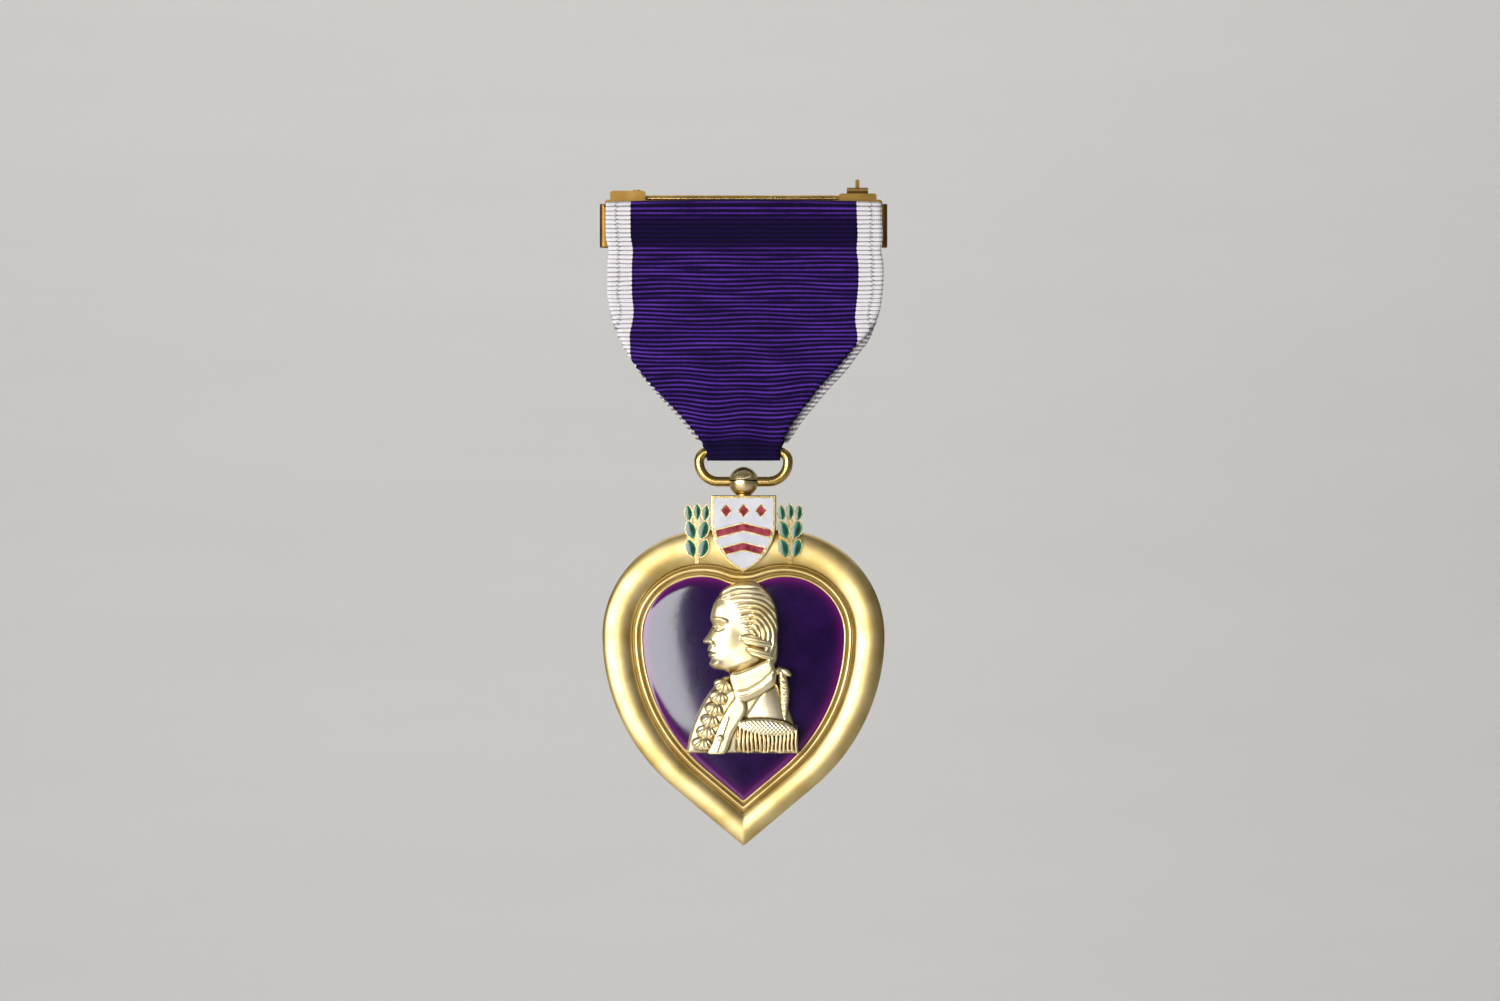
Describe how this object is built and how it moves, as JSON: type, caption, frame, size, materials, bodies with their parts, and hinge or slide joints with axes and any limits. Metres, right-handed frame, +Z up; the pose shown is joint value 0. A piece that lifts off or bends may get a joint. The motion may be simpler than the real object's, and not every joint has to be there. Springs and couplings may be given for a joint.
{
  "type": "heart-shaped ribbon medal",
  "caption": "Heart-shaped award medal with a profile bust on dark enamel, hung by a wire loop and ball from a folded ribbon on a pin-back bar with a turning safety catch.",
  "frame": {"origin": "middle of the pin stem's straight length, on its axis", "axes": "+X along the pin towards its point, to the viewer's right; the medal's face looks to -Y and its back to +Y; +Z up, hanging"},
  "size_m": [0.0358, 0.0072, 0.0828],
  "materials": {
    "gilt_brooch": "gilt plated stamped sheet",
    "gilt_pin": "drawn and polished",
    "gilt_wire": "gilt plated drawn wire",
    "gilt_satin": "fine sand-blasted gilt",
    "gilt_relief": "struck relief, gilt",
    "ribbon_weave": "ribbed moire-less rayon, purple with white edges",
    "ribbon_thread": "twisted thread",
    "purple_enamel": "fired translucent enamel, gloss",
    "white_enamel": "fired opaque enamel",
    "red_enamel": "fired translucent enamel",
    "green_enamel": "fired translucent enamel"
  },
  "bodies": {
    "brooch": {"brooch_frame": "gilt_brooch", "hinge_bracket": "gilt_brooch", "hinge_rivet": "gilt_brooch", "catch_housing": "gilt_brooch", "ribbon_wrap": "ribbon_weave"},
    "pin": {"pin_stem": "gilt_pin"},
    "lock": {"catch_rotor": "gilt_brooch"},
    "ribbon": {"ribbon_drape": "ribbon_weave", "ribbon_stitching": "ribbon_thread"},
    "loop": {"suspension_loop": "gilt_wire"},
    "pendant": {"suspension_ball": "gilt_satin", "heart_body": "gilt_satin", "enamel_heart": "purple_enamel", "portrait_bust": "gilt_relief", "bust_posts": "gilt_relief", "shield_plate": "gilt_satin", "shield_white_enamel": "white_enamel", "shield_red_enamel": "red_enamel", "shield_lozenge_enamel": "red_enamel", "laurel_left": "gilt_satin", "laurel_right": "gilt_satin", "laurel_left_enamel": "green_enamel", "laurel_right_enamel": "green_enamel"}
  },
  "joints": [
    {"name": "pin_hinge", "type": "hinge", "parent": "brooch", "child": "pin", "pos_m": [-0.0133, 0, 0], "axis": [0, 0, 1], "range_deg": [0, 100]},
    {"name": "lock_turn", "type": "hinge", "parent": "brooch", "child": "lock", "pos_m": [0.0142, 0, 0], "axis": [-1, 0, 0], "range_deg": [0, 100]},
    {"name": "ribbon_swing", "type": "hinge", "parent": "brooch", "child": "ribbon", "pos_m": [0, -0.0027, -0.00705], "axis": [1, 0, 0], "range_deg": [-30, 30]},
    {"name": "loop_swing", "type": "hinge", "parent": "ribbon", "child": "loop", "pos_m": [0, -0.0027, -0.03165], "axis": [1, 0, 0], "range_deg": [-60, 60]},
    {"name": "pendant_swing", "type": "hinge", "parent": "loop", "child": "pendant", "pos_m": [0, -0.0027, -0.03535], "axis": [1, 0, 0], "range_deg": [-60, 60]}
  ]
}
